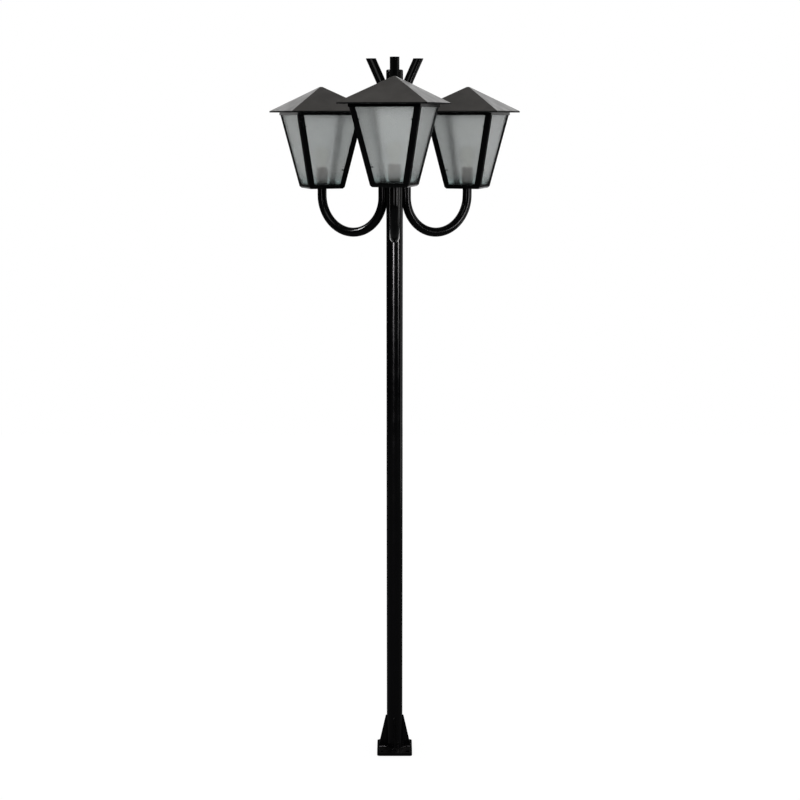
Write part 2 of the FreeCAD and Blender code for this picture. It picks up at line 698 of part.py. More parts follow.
def make_lamp_glass(name):
    """Opal bulb: a sphere on a conical neck, hollow."""
    body = new_body(name + "_lamp_glass")
    for kind, wall in (("Additive", "0"), ("Subtractive", "lamp_glass")):
        radius = f"(lamp_bulb / 2 - {wall})"
        neck = attach(body.newObject(f"PartDesign::{kind}Cone", "neck"), body, "XY_Plane", LAMP_CAP_TOP)
        neck.setExpression("Radius1", bound(f"lamp_cap_outside / 2 - {wall}"))
        neck.setExpression("Radius2", bound(f"{radius} * cos(lamp_shoulder)"))
        neck_top = f"{LAMP_CENTRE} - {radius} * sin(lamp_shoulder)"
        neck.setExpression("Height", bound(f"{neck_top} - {LAMP_CAP_TOP}"))
        bulb = attach(body.newObject(f"PartDesign::{kind}Sphere", "bulb"), body, "XY_Plane", LAMP_CENTRE)
        bulb.setExpression("Radius", bound(radius))
    return body


def make_lantern(name, place_in_ring, rise, yaw, low_side):
    """All the pieces of one lantern, placed on the end of its arm; gives its nipple and its nut."""
    nipple = make_nipple(name)
    nut = make_lock_nut(name)
    pieces = [
        nipple, nut, make_stem_plug(name), make_tray(name),
        make_corner_posts(name), make_top_frame(name), make_pane_clips(name, low_side),
        make_roof(name), make_roof_collar(name), make_plinth(name), make_lamp_holder(name),
        make_contact_shell(name), make_lamp_cap(name), make_lamp_glass(name),
    ]
    pieces += [make_pane(name, side) for side in SIDES]
    along = direction(place_in_ring)
    spot = (f"lantern_reach * cos({along})", f"lantern_reach * sin({along})", f"{LANTERN_HEIGHT} + {rise}")
    for piece in pieces:
        place(piece, *spot, yaw)
    return nipple, nut


make_base_plate()
make_gussets()
make_pole()
make_end_caps()
make_arm_welds()
nipples, nuts = [], []
for lantern, (spot, rise, yaw, low_side) in LANTERNS.items():
    make_arm(lantern, spot, rise)
    nipple, nut = make_lantern(lantern, spot, rise, yaw, low_side)
    nipples.append(nipple)
    nuts.append(nut)
group("threaded_nipples", nipples)
group("lock_nuts", nuts)
doc.recompute()

failed = [f"{item.Name} {item.State}" for item in doc.Objects if {"Invalid", "Error"} & set(item.State)]
failed += [node.Label for node in nodes if node.Shape.isNull() or not node.Shape.isValid()]
if failed:
    raise RuntimeError("these did not come out: " + ", ".join(failed))
os.makedirs("parts", exist_ok=True)
for node in nodes:
    node.Shape.exportStep(f"parts/{node.Label}.step")
    solids, volume = len(node.Shape.Solids), node.Shape.Volume / 1000
    print(f"{node.Label:28s} solids {solids:3d}  volume {volume:10.2f} cm3")
print(len(nodes), "nodes")
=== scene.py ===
"""The finish of a triple head lamp post: painted steel, frosted lantern panes and opal lamps."""
import json
import math
import bmesh
import bpy
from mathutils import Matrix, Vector


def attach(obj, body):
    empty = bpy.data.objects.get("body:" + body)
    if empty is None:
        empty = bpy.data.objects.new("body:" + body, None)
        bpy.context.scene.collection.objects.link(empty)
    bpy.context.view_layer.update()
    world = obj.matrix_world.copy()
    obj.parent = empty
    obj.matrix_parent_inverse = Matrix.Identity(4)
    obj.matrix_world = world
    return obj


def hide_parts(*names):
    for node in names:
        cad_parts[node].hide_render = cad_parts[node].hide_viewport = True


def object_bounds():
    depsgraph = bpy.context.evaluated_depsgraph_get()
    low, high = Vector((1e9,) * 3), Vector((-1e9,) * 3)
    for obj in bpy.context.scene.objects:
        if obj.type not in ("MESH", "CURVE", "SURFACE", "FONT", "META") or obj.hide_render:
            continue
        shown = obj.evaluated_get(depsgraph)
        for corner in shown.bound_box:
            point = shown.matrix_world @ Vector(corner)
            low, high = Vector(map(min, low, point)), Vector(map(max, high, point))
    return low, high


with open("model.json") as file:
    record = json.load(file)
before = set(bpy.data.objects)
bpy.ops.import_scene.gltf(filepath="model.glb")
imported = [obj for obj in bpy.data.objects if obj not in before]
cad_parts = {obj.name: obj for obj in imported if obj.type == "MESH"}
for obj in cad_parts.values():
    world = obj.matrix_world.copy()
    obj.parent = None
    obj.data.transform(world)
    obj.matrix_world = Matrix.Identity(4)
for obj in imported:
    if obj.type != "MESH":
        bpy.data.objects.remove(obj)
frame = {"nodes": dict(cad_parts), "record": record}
cad_low, cad_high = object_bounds()
record = frame["record"]
LANTERNS = ("front", "right", "left")
PANE_SIDES = ("front", "back", "right", "left")
NODE_SLOT = {part["node"]: part["material_slot"] for part in record["subparts"]}
NODE_BODY = {node: body for body, nodes in record["behaviour"]["bodies"].items() for node in nodes}
SHOWN = {}  # the copy that stands in for a node, by the node's name
LOOSE = []  # pieces that stand in for no node
MM = 0.001
UP = Vector((0.0, 0.0, 1.0))
WHITE = (1.0, 1.0, 1.0)


# ---------------------------------------------------------------- shader nodes

def math_node(add, link, operation, first, second):
    """Combine two values, each a plain number or an output."""
    node = add("ShaderNodeMath")
    node.operation = operation
    for socket, value in zip(node.inputs, (first, second)):
        if isinstance(value, float):
            socket.default_value = value
        else:
            link(value, socket)
    return node.outputs[0]


def map_range(add, link, source, edge, span, interpolation="LINEAR"):
    """Carry a value from between an edge's two numbers to between a span's."""
    node = add("ShaderNodeMapRange")
    node.interpolation_type = interpolation
    for name, number in zip(("From Min", "From Max", "To Min", "To Max"), edge + span):
        node.inputs[name].default_value = number
    link(source, node.inputs["Value"])
    return node.outputs["Result"]


def backdrop_share(add, link):
    """Give 1 for what the camera sees directly or through glass, and 0 for all other rays."""
    rays = add("ShaderNodeLightPath").outputs
    return math_node(add, link, "MAXIMUM", rays["Is Camera Ray"], rays["Is Transmission Ray"])


# ---------------------------------------------------------------- camera

# The photograph is read as taken 5.5 m away, at about the height of the lanterns' eaves. Its pixels are
# counted from its upper left corner, and the axis is what the camera looks at straight on.
CAMERA_DISTANCE = 5.5
CAMERA_HEIGHT = 2.394
CAMERA_TILT = 12.128
FRAME_PIXELS = 800.0
FOCAL_PIXELS = 1508.0
AXIS_COLUMN = 394.6
AXIS_ROW = 445.0
SENSOR = 36.0
FAR_CLIP = 100.0


def make_camera():
    """A camera in front of the post, tilted down at its foot."""
    data = bpy.data.cameras.new("camera")
    data.sensor_width = SENSOR
    data.lens = SENSOR * FOCAL_PIXELS / FRAME_PIXELS
    data.shift_x = (FRAME_PIXELS / 2 - AXIS_COLUMN) / FRAME_PIXELS
    data.shift_y = (AXIS_ROW - FRAME_PIXELS / 2) / FRAME_PIXELS
    data.clip_end = FAR_CLIP
    camera = bpy.data.objects.new("camera", data)
    camera.location = (0.0, -CAMERA_DISTANCE, CAMERA_HEIGHT)
    camera.rotation_euler = (math.radians(90.0 - CAMERA_TILT), 0.0, 0.0)
    bpy.context.scene.collection.objects.link(camera)
    bpy.context.scene.camera = camera


# ---------------------------------------------------------------- lamps

# Two tall strips of soft light give the post and the arms their highlights. Their azimuths are in degrees
# around the post, to the right of the camera.
LEFT_STRIP = {"azimuth": -14.5, "distance": 3.6, "width": 0.50, "colour": (1.0, 0.96, 1.0)}
RIGHT_STRIP = {"azimuth": 55.0, "distance": 3.2, "width": 0.45, "colour": (1.0, 0.98, 1.0)}
# A strip's boxes stand one above another, dimmer downwards: low end, high end, watts per square metre.
POLE_STEPS = ((1.62, 2.70, 230.0), (1.38, 1.62, 100.0), (1.10, 1.38, 22.0))
ARM_STEPS = POLE_STEPS[:1]
# Faint glows stand behind the lanterns at both sides, some level with them and some above their roofs.
BEHIND_LEFT, BEHIND_RIGHT = (-2.05, 2.6, 2.35), (2.05, 2.6, 2.35)
HIGH_LEFT, HIGH_RIGHT = (-1.07, 3.95, 3.44), (1.07, 3.95, 3.44)
GLOW_TARGET = (0.0, 0.0, 2.4)


def shown_pieces(name, wanted):
    """Collect the visible pieces of the nodes that a test picks, for lights that reach only those."""
    pieces = bpy.data.collections.new(name)
    for node in frame["nodes"]:
        if wanted(node):
            pieces.objects.link(SHOWN.get(node, frame["nodes"][node]))
    for piece in LOOSE:
        if wanted(piece.name):
            pieces.objects.link(piece)
    return pieces


def is_pole(node):
    """Tell the upright post and its foot from all the rest."""
    return node in ("pole_tube", "base_plate", "base_gussets", "foot_beads")


def is_arm(node):
    """Tell the other pieces in the post's paint: the arms, the caps and their welds."""
    return NODE_SLOT.get(node) == "post_paint" and not is_pole(node)


def is_walled(node):
    """Tell the pieces that the wall of light reaches: all but the lanterns' frames."""
    return not node.endswith(("_corner_posts", "_top_frame", "_bottom_tray"))


def is_front_pane(node):
    """Tell the front lantern's panes and their clips."""
    return node.startswith("front_pane_")


def is_left_lantern(node):
    """Tell the left lantern's panes, their clips, its roof and the roof's collar."""
    return node.startswith(("left_pane_", "left_roof"))


def hide_from(item, *rays):
    """Keep an object out of what some kinds of rays see."""
    for ray in rays:
        setattr(item, "visible_" + ray, False)


def make_softbox(name, position, target, width, height, power, colour=WHITE):
    """A rectangular lamp that faces a point."""
    data = bpy.data.lights.new(name, "AREA")
    data.shape = "RECTANGLE"
    data.size = width
    data.size_y = height
    data.energy = power
    data.color = colour
    lamp = bpy.data.objects.new(name, data)
    lamp.location = position
    lamp.rotation_euler = (Vector(target) - Vector(position)).to_track_quat("-Z", "Y").to_euler()
    bpy.context.scene.collection.objects.link(lamp)
    return lamp


def make_shine(name, receivers, **box):
    """A softbox that only shows as gloss on some pieces."""
    shine = make_softbox(name, **box)
    hide_from(shine, "camera", "diffuse", "transmission")
    shine.light_linking.receiver_collection = receivers


def make_strip(name, steps, share, receivers, azimuth, distance, width, colour):
    """A tall strip of shines at an azimuth, one for each of its steps."""
    turn = math.radians(azimuth)
    x, y = distance * math.sin(turn), -distance * math.cos(turn)
    for step, (low, high, density) in enumerate(steps):
        middle, height = (low + high) / 2, high - low
        make_shine(f"{name}_{step}", receivers, position=(x, y, middle), target=(0.0, 0.0, middle),
                   width=width, height=height, power=share * density * width * height, colour=colour)


def make_fill(name, position, target, side, power, receivers):
    """A soft square light without gloss, which only reaches some pieces."""
    fill = make_softbox(name, position, target, side, side, power)
    hide_from(fill, "camera", "glossy")
    fill.light_linking.receiver_collection = receivers


def make_glow(name, position, side, power, nodes):
    """A soft square light from behind for the faint gloss of a few nodes' sides."""
    glow = make_softbox(name, position, GLOW_TARGET, side, side, power)
    hide_from(glow, "camera", "transmission")
    glow.light_linking.receiver_collection = shown_pieces(name, lambda node: node in nodes)


def make_lights():
    """A dim wall of light at the right, a soft light above the front, and lamps for a few pieces each."""
    pole, arms = shown_pieces("glossy_pole", is_pole), shown_pieces("glossy_arms", is_arm)
    make_strip("pole_strip_left", POLE_STEPS, share=1.0, receivers=pole, **LEFT_STRIP)
    make_strip("pole_strip_right", POLE_STEPS, share=0.45, receivers=pole, **RIGHT_STRIP)
    make_strip("arm_strip_left", ARM_STEPS, share=0.06, receivers=arms, **LEFT_STRIP)
    make_strip("arm_strip_right", ARM_STEPS, share=0.25, receivers=arms, **RIGHT_STRIP)
    make_shine("arm_streak", arms, position=(-2.76, -0.2, 3.47), target=(-0.1, 0.06, 2.1),
               width=0.6, height=0.6, power=70.0)
    wall = make_softbox("wall_right", position=(3.2, 0.8, 1.7), target=(0.0, 0.0, 1.7),
                        width=1.2, height=3.0, power=15.0)
    wall.light_linking.receiver_collection = shown_pieces("walled", is_walled)
    make_softbox("top_front", position=(-1.0, -3.2, 4.2), target=(0.0, 0.0, 2.0),
                 width=2.4, height=1.6, power=22.0)
    make_fill("fill_front", position=(0.25, -1.7, 2.0), target=(0.05, -0.31, 2.3), side=0.8, power=3.0,
              receivers=shown_pieces("front_panes", is_front_pane))
    make_fill("fill_left", position=(-3.0, 0.3, 1.9), target=(-0.27, 0.155, 2.3), side=1.4, power=29.0,
              receivers=shown_pieces("left_lantern", is_left_lantern))
    right_panes = [f"{lantern}_pane_{side}" for lantern in ("front", "right") for side in PANE_SIDES]
    make_glow("rail_left", BEHIND_LEFT, side=1.2, power=3.0, nodes=("left_top_frame",))
    make_glow("rail_right", BEHIND_RIGHT, side=1.2, power=3.0, nodes=("right_top_frame", "front_top_frame"))
    make_glow("panes_right", BEHIND_RIGHT, side=1.2, power=2.0, nodes=right_panes)
    make_glow("roof_left", HIGH_LEFT, side=1.5, power=1.6, nodes=("left_roof",))
    make_glow("roof_right", HIGH_RIGHT, side=1.5, power=1.6, nodes=("front_roof", "right_roof"))


# ---------------------------------------------------------------- world, floor and flag

AMBIENT = 0.70
# In gloss the world is white behind the object and fades in front, overhead, at the left and at the right.
# Each fade has an axis, two cosines of a direction with that axis, and the world's strength at each.
GLOSS_FADES = (
    ("Y", (0.10, 0.60), (0.02, 1.0)),
    ("Z", (0.30, 0.75), (1.0, 0.15)),
    ("X", (-0.42, -0.18), (0.05, 1.0)),
    ("X", (0.30, 0.48), (1.0, 0.05)),
)
FLOOR_HALF = 6.0
FLOOR_DROP = 0.2 * MM
FLOOR_GREY = 0.15
FLOOR_GLOW = 0.90
FLAG_BEHIND = 1.0
FLAG_LOW, FLAG_HIGH = 0.15, 0.95
FLAG_HALF = 0.8


def make_world():
    """White for the camera and for glass, and behind the object for gloss; softer light for the rest."""
    world = bpy.data.worlds.new("studio")
    world.use_nodes = True
    bpy.context.scene.world = world
    tree = world.node_tree
    tree.nodes.clear()
    add, link = tree.nodes.new, tree.links.new
    axes = add("ShaderNodeSeparateXYZ")
    link(add("ShaderNodeTexCoord").outputs["Generated"], axes.inputs[0])
    gloss = 1.0
    for axis, cosines, strengths in GLOSS_FADES:
        share = map_range(add, link, axes.outputs[axis], cosines, strengths, "SMOOTHSTEP")
        gloss = math_node(add, link, "MULTIPLY", gloss, share)
    lit = add("ShaderNodeMix")
    lit.inputs["A"].default_value = AMBIENT
    link(add("ShaderNodeLightPath").outputs["Is Glossy Ray"], lit.inputs["Factor"])
    link(gloss, lit.inputs["B"])
    strength = add("ShaderNodeMix")
    strength.inputs["B"].default_value = 1.0
    link(backdrop_share(add, link), strength.inputs["Factor"])
    link(lit.outputs["Result"], strength.inputs["A"])
    background = add("ShaderNodeBackground")
    background.inputs["Color"].default_value = WHITE + (1.0,)
    link(strength.outputs["Result"], background.inputs["Strength"])
    link(background.outputs[0], add("ShaderNodeOutputWorld").inputs["Surface"])


def make_card(name, corners):
    """A flat four-cornered piece of the stage and the node tree of its own material."""
    mesh = bpy.data.meshes.new(name)
    mesh.from_pydata(corners, [], [(0, 1, 2, 3)])
    card = bpy.data.objects.new(name, mesh)
    bpy.context.scene.collection.objects.link(card)
    material = bpy.data.materials.new(name)
    material.use_nodes = True
    mesh.materials.append(material)
    return card, material.node_tree


def make_floor():
    """A pale floor that looks white and still takes the post's shadow."""
    half, height = FLOOR_HALF, cad_low.z - FLOOR_DROP
    corners = [(-half, -half, height), (half, -half, height), (half, half, height), (-half, half, height)]
    floor, tree = make_card("floor", corners)
    tree.nodes.clear()
    add, link = tree.nodes.new, tree.links.new
    diffuse = add("ShaderNodeBsdfDiffuse")
    diffuse.inputs["Color"].default_value = (FLOOR_GREY, FLOOR_GREY, FLOOR_GREY, 1.0)
    glow = add("ShaderNodeEmission")
    link(math_node(add, link, "MULTIPLY", backdrop_share(add, link), FLOOR_GLOW), glow.inputs["Strength"])
    both = add("ShaderNodeAddShader")
    link(diffuse.outputs[0], both.inputs[0])
    link(glow.outputs[0], both.inputs[1])
    link(both.outputs[0], add("ShaderNodeOutputMaterial").inputs["Surface"])


def make_flag():
    """A dark card behind the foot, which keeps the white backdrop's gloss off the foot plate."""
    half, behind, low, high = FLAG_HALF, FLAG_BEHIND, FLAG_LOW, FLAG_HIGH
    corners = [(-half, behind, low), (half, behind, low), (half, behind, high), (-half, behind, high)]
    flag, tree = make_card("flag", corners)
    shader = tree.nodes["Principled BSDF"]
    shader.inputs["Base Color"].default_value = (0.0, 0.0, 0.0, 1.0)
    shader.inputs["Specular IOR Level"].default_value = 0.0
    hide_from(flag, "camera", "diffuse", "transmission", "shadow")


# ---------------------------------------------------------------- materials

# Colours, as dark and pale parts of one surface where there are two.
# painted shade: near black on the roof's lip and underside, the faces that turn away from the sky
PAINTED_LIP_SHADE = (0.0015, 0.0015, 0.0015)
ROOF_DARK, ROOF_PALE = (0.038, 0.036, 0.033), (0.066, 0.062, 0.058)
RAIN_STREAK = (0.095, 0.090, 0.085)
ROOF_SPECK = (0.150, 0.142, 0.132)
GLASS_DARK, GLASS_PALE = (0.705, 0.727, 0.725), (0.740, 0.755, 0.748)
# smeared grime together with painted shade of the tray inside, darkening a pane towards its lower edge
GRIME_AND_PAINTED_SHADE = (0.26, 0.34, 0.335)
# painted shade of the tray along a pane's lowest edge
PAINTED_TRAY_SHADE = (0.045, 0.052, 0.052)
OPAL_DARK, OPAL_PALE = (0.98, 0.97, 0.94), (0.99, 0.985, 0.965)
PORCELAIN_DARK, PORCELAIN_PALE = (0.36, 0.29, 0.26), (0.47, 0.39, 0.36)
CLOUD_SHADE = 1.6  # how much paler black paint is where it clouds
DULLER = 0.10  # added to black paint's roughness in its dull patches
TARNISH = 0.15  # added to bare metal's roughness where it is tarnished


class Finish:
    """A material with one principled shader, and short ways to feed it."""

    def __init__(self, name):
        self.material = bpy.data.materials.new(name)
        self.material.use_nodes = True
        self.add = self.material.node_tree.nodes.new
        self.link = self.material.node_tree.links.new
        self.shader = self.material.node_tree.nodes["Principled BSDF"]
        self.place = self.add("ShaderNodeTexCoord").outputs["Object"]
        self.normal = None

    def set(self, **numbers):
        """Set the shader's own sockets; a name's spaces are written as underscores."""
        for name, number in numbers.items():
            self.shader.inputs[name.replace("_", " ")].default_value = number

    def feed(self, name, source):
        """Let an output drive one of the shader's sockets."""
        self.link(source, self.shader.inputs[name])

    def noise(self, scale, detail, rough=0.55, stretch=(1.0, 1.0, 1.0)):
        """Cloudy values from 0 to 1."""
        mapping = self.add("ShaderNodeMapping")
        mapping.inputs["Scale"].default_value = stretch
        self.link(self.place, mapping.inputs["Vector"])
        texture = self.add("ShaderNodeTexNoise")
        texture.inputs["Scale"].default_value = scale
        texture.inputs["Detail"].default_value = detail
        texture.inputs["Roughness"].default_value = rough
        self.link(mapping.outputs[0], texture.inputs["Vector"])
        return texture.outputs["Fac"]

    def remap(self, source, edge, span=(0.0, 1.0)):
        """Carry a value from between an edge's two numbers to between a span's."""
        return map_range(self.add, self.link, source, edge, span)

    def patches(self, scale, detail, edge, span=(0.0, 1.0), **form):
        """Patches of noise: its edge's two values become the span's two."""
        return self.remap(self.noise(scale, detail, **form), edge, span)

    def times(self, first, second):
        """Multiply two values."""
        return math_node(self.add, self.link, "MULTIPLY", first, second)

    def blend(self, amount, first, second):
        """Mix two colours, each a plain colour or an output."""
        node = self.add("ShaderNodeMix")
        node.data_type = "RGBA"
        self.link(amount, node.inputs["Factor"])
        for name, colour in (("A", first), ("B", second)):
            socket = next(s for s in node.inputs if s.name == name and s.type == "RGBA")
            if isinstance(colour, tuple):
                socket.default_value = colour + (1.0,)
            else:
                self.link(colour, socket)
        return next(s for s in node.outputs if s.type == "RGBA")

    def facing_up(self, cosines):
        """Give how much a surface faces the sky, from 0 at the first cosine to 1 at the second."""
        axes = self.add("ShaderNodeSeparateXYZ")
        self.link(self.add("ShaderNodeNewGeometry").outputs["Normal"], axes.inputs[0])
        return self.remap(axes.outputs["Z"], cosines)

    def share_of_height(self):
        """Give 0 at a piece's foot and 1 at its top."""
        axes = self.add("ShaderNodeSeparateXYZ")
        self.link(self.add("ShaderNodeTexCoord").outputs["Generated"], axes.inputs[0])
        return axes.outputs["Z"]

    def relief(self, scale, detail, strength, depth):
        """Add a layer of fine bumps to those so far; the depth is in metres."""
        bumps = self.add("ShaderNodeBump")
        bumps.inputs["Strength"].default_value = strength
        bumps.inputs["Distance"].default_value = depth
        self.link(self.noise(scale, detail), bumps.inputs["Height"])
        if self.normal is not None:
            self.link(self.normal, bumps.inputs["Normal"])
        self.normal = bumps.outputs["Normal"]
        self.feed("Normal", self.normal)


def black_paint(name, colour, dust, shine, level):
    """Sprayed enamel: slightly clouded, with orange peel, dust on what faces up and dull patches."""
    finish = Finish(name)
    clouds = finish.patches(scale=7.0, detail=5.0, edge=(0.35, 0.70))
    specks = finish.patches(scale=420.0, detail=2.0, edge=(0.62, 0.72))
    drifts = finish.patches(scale=38.0, detail=6.0, edge=(0.30, 0.75), span=(0.05, 0.50))
    shade = finish.blend(clouds, colour, tuple(CLOUD_SHADE * part for part in colour))
    speckled = finish.times(specks, finish.remap(clouds, (0.0, 1.0), (0.02, 0.12)))
    shade = finish.blend(speckled, shade, dust)
    shade = finish.blend(finish.times(finish.facing_up((0.20, 0.95)), drifts), shade, dust)
    finish.feed("Base Color", shade)
    dull = (shine, shine + DULLER)
    finish.feed("Roughness", finish.patches(scale=24.0, detail=6.0, edge=(0.30, 0.75), span=dull))
    finish.set(Specular_IOR_Level=level)
    finish.relief(scale=60.0, detail=2.0, strength=0.05, depth=0.4 * MM)
    return finish.material


def roof_paint():
    """Matt weathered paint on sheet, with rain streaks and fine pale specks; painted shade turns the lip and
    the inside black.
    """
    finish = Finish("roof_paint")
    clouds = finish.patches(scale=9.0, detail=6.0, edge=(0.30, 0.72), rough=0.6)
    streaks = finish.patches(scale=30.0, detail=4.0, edge=(0.45, 0.75), span=(0.0, 0.35), rough=0.6,
                             stretch=(1.0, 1.0, 0.25))
    specks = finish.patches(scale=310.0, detail=2.0, edge=(0.64, 0.70), span=(0.0, 0.20))
    shade = finish.blend(clouds, ROOF_DARK, ROOF_PALE)
    shade = finish.blend(streaks, shade, RAIN_STREAK)
    shade = finish.blend(specks, shade, ROOF_SPECK)
    # painted shade: the faces that turn from the sky, the lip and the inside, go near black
    finish.feed("Base Color", finish.blend(finish.facing_up((0.30, 0.60)), PAINTED_LIP_SHADE, shade))
    finish.feed("Roughness", finish.patches(scale=18.0, detail=5.0, edge=(0.30, 0.75), span=(0.28, 0.40)))
    finish.set(Specular_IOR_Level=0.5)
    finish.relief(scale=60.0, detail=3.0, strength=0.10, depth=0.6 * MM)
    finish.relief(scale=700.0, detail=2.0, strength=0.15, depth=0.1 * MM)
    return finish.material


def frosted_glass():
    """Etched sheet glass: it blurs what is behind it, least along its lower edge, which is darkened by
    smeared grime and by painted shade of the tray.
    """
    finish = Finish("frosted_glass")
    height = finish.share_of_height()
    low_down = finish.remap(height, (0.0, 0.26), (1.0, 0.0))
    smears = finish.patches(scale=30.0, detail=4.0, edge=(0.30, 0.70), span=(0.55, 0.85))
    shade = finish.blend(finish.patches(scale=6.0, detail=4.0, edge=(0.30, 0.70)), GLASS_DARK, GLASS_PALE)
    # painted shade of the tray and lamp holder, mixed with smeared grime, darkens the lower quarter of a
    # pane
    shade = finish.blend(finish.times(finish.times(low_down, low_down), smears), shade, GRIME_AND_PAINTED_SHADE)
    # painted shade of the tray darkens the lowest edge of a pane
    shade = finish.blend(finish.remap(height, (0.0, 0.04), (0.25, 0.0)), shade, PAINTED_TRAY_SHADE)
    finish.feed("Base Color", shade)
    etching = finish.patches(scale=45.0, detail=4.0, edge=(0.30, 0.70), span=(0.225, 0.255))
    finish.feed("Roughness", finish.times(etching, finish.remap(height, (0.03, 0.12), (0.35, 1.0))))
    finish.feed("Transmission Weight", finish.remap(height, (0.03, 0.10), (1.0, 0.80)))
    finish.set(IOR=1.45, Specular_IOR_Level=0.5)
    finish.relief(scale=60.0, detail=2.0, strength=0.03, depth=0.2 * MM)
    return finish.material


def opal_glass():
    """Thin milk glass of the lamps, which lets a blurred light through."""
    finish = Finish("opal_glass")
    clouds = finish.patches(scale=40.0, detail=3.0, edge=(0.30, 0.70))
    finish.feed("Base Color", finish.blend(clouds, OPAL_DARK, OPAL_PALE))
    finish.feed("Roughness", finish.remap(clouds, (0.0, 1.0), (0.14, 0.18)))
    finish.set(Transmission_Weight=0.97, IOR=1.14)
    finish.relief(scale=300.0, detail=2.0, strength=0.05, depth=0.1 * MM)
    return finish.material


def porcelain():
    """Glazed brownish porcelain."""
    finish = Finish("porcelain")
    clouds = finish.patches(scale=90.0, detail=4.0, edge=(0.30, 0.70))
    finish.feed("Base Color", finish.blend(clouds, PORCELAIN_DARK, PORCELAIN_PALE))
    finish.set(Roughness=0.28, Coat_Weight=0.6, Coat_Roughness=0.06)
    finish.relief(scale=220.0, detail=3.0, strength=0.10, depth=0.2 * MM)
    return finish.material


def bare_metal(name, light, dark, roughness):
    """Plain sheet metal, tarnished in patches."""
    finish = Finish(name)
    clouds = finish.patches(scale=120.0, detail=5.0, edge=(0.30, 0.72))
    finish.feed("Base Color", finish.blend(clouds, light, dark))
    worn = (roughness, roughness + TARNISH)
    finish.feed("Roughness", finish.patches(scale=260.0, detail=4.0, edge=(0.30, 0.70), span=worn))
    finish.set(Metallic=1.0)
    finish.relief(scale=900.0, detail=2.0, strength=0.15, depth=0.06 * MM)
    return finish.material


def make_materials():
    """One finish for each of the record's slots."""
    return {
        "post_paint": black_paint("post_paint", colour=(0.0012, 0.0012, 0.0014), dust=(0.022, 0.021, 0.020),
                                  shine=0.13, level=0.20),
        "lantern_paint": black_paint("lantern_paint", colour=(0.0012, 0.0012, 0.0013),
                                     dust=(0.020, 0.019, 0.018), shine=0.18, level=0.16),
        "roof_paint": roof_paint(),
        "frosted_glass": frosted_glass(),
        "opal_glass": opal_glass(),
        "porcelain": porcelain(),
        "brass": bare_metal("brass", light=(0.78, 0.60, 0.28), dark=(0.45, 0.32, 0.13), roughness=0.26),
        "cap_metal": bare_metal("cap_metal", light=(0.78, 0.77, 0.74), dark=(0.52, 0.50, 0.47),
                                roughness=0.24),
        "zinc_steel": bare_metal("zinc_steel", light=(0.66, 0.67, 0.69), dark=(0.42, 0.43, 0.45),
                                 roughness=0.30),
    }


materials = make_materials()


# ---------------------------------------------------------------- pieces

MERGE = 0.01 * MM  # points nearer than this are one
FLAT = math.radians(1.0)  # folds flatter than this are dissolved
SHARP = math.radians(22.0)  # folds sharper than this are rounded
SMOOTH = math.radians(38.0)  # folds flatter than this are shaded smooth
BEVEL_SEGMENTS = 2


def finish_node(node):
    """Give a CAD node that stays its finish."""
    for material_slot in frame["nodes"][node].material_slots:
        material_slot.material = materials[NODE_SLOT[node]]


def add_piece(name, mesh, node):
    """Show a mesh with the finish of a node's slot, riding on that node's body."""
    mesh.materials.append(materials[NODE_SLOT[node]])
    piece = bpy.data.objects.new(name, mesh)
    bpy.context.scene.collection.objects.link(piece)
    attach(piece, NODE_BODY[node])
    return piece


def copy_of(node):
    """Take a node's shape for a piece that will stand in for it."""
    shape = bmesh.new()
    shape.from_mesh(frame["nodes"][node].data)
    bmesh.ops.remove_doubles(shape, verts=shape.verts, dist=MERGE)
    return shape


def mesh_from(name, shape):
    """Turn a shape into a smooth mesh whose sharp folds stay sharp."""
    bmesh.ops.recalc_face_normals(shape, faces=shape.faces)
    mesh = bpy.data.meshes.new(name)
    shape.to_mesh(mesh)
    shape.free()
    mesh.shade_smooth()
    mesh.set_sharp_from_angle(angle=SMOOTH)
    return mesh


def stand_in(node, shape):
    """Show a shape in place of its node."""
    name = node + "_skin"
    SHOWN[node] = add_piece(name, mesh_from(name, shape), node)
    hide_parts(node)


def keep_flats(mesh):
    """Let each large flat face keep its own direction right up to its rounded edges."""
    around = [[] for vertex in mesh.vertices]
    for face in mesh.polygons:
        for vertex in face.vertices:
            around[vertex].append((face.normal.copy(), face.area))
    directions = []
    for face in mesh.polygons:
        for vertex in face.vertices:
            direction = Vector()
            for normal, area in around[vertex]:
                if normal.angle(face.normal, 0.0) < SMOOTH:
                    direction += area * normal
            directions.append(direction.normalized())
    mesh.normals_split_custom_set(directions)


def rounded(node, width):
    """Stand a copy with rounded edges in for a node of folded or cut sheet."""
    shape = copy_of(node)
    bmesh.ops.dissolve_limit(shape, angle_limit=FLAT, verts=shape.verts, edges=shape.edges)
    edges = [edge for edge in shape.edges if len(edge.link_faces) == 2 and edge.calc_face_angle(0.0) > SHARP]
    bmesh.ops.bevel(shape, geom=edges, offset=width, segments=BEVEL_SEGMENTS, profile=0.5, affect="EDGES",
                    clamp_overlap=True)
    stand_in(node, shape)
    keep_flats(SHOWN[node].data)


def solids_of(node):
    """Give the box of each separate solid in a node, as its low and its high corner."""
    shape = copy_of(node)
    boxes, seen = [], set()
    for first in shape.verts:
        if first in seen:
            continue
        seen.add(first)
        solid = [first]
        for vertex in solid:
            for edge in vertex.link_edges:
                other = edge.other_vert(vertex)
                if other not in seen:
                    seen.add(other)
                    solid.append(other)
        spans = [[vertex.co[axis] for vertex in solid] for axis in range(3)]
        boxes.append((Vector([min(span) for span in spans]), Vector([max(span) for span in spans])))
    shape.free()
    return boxes


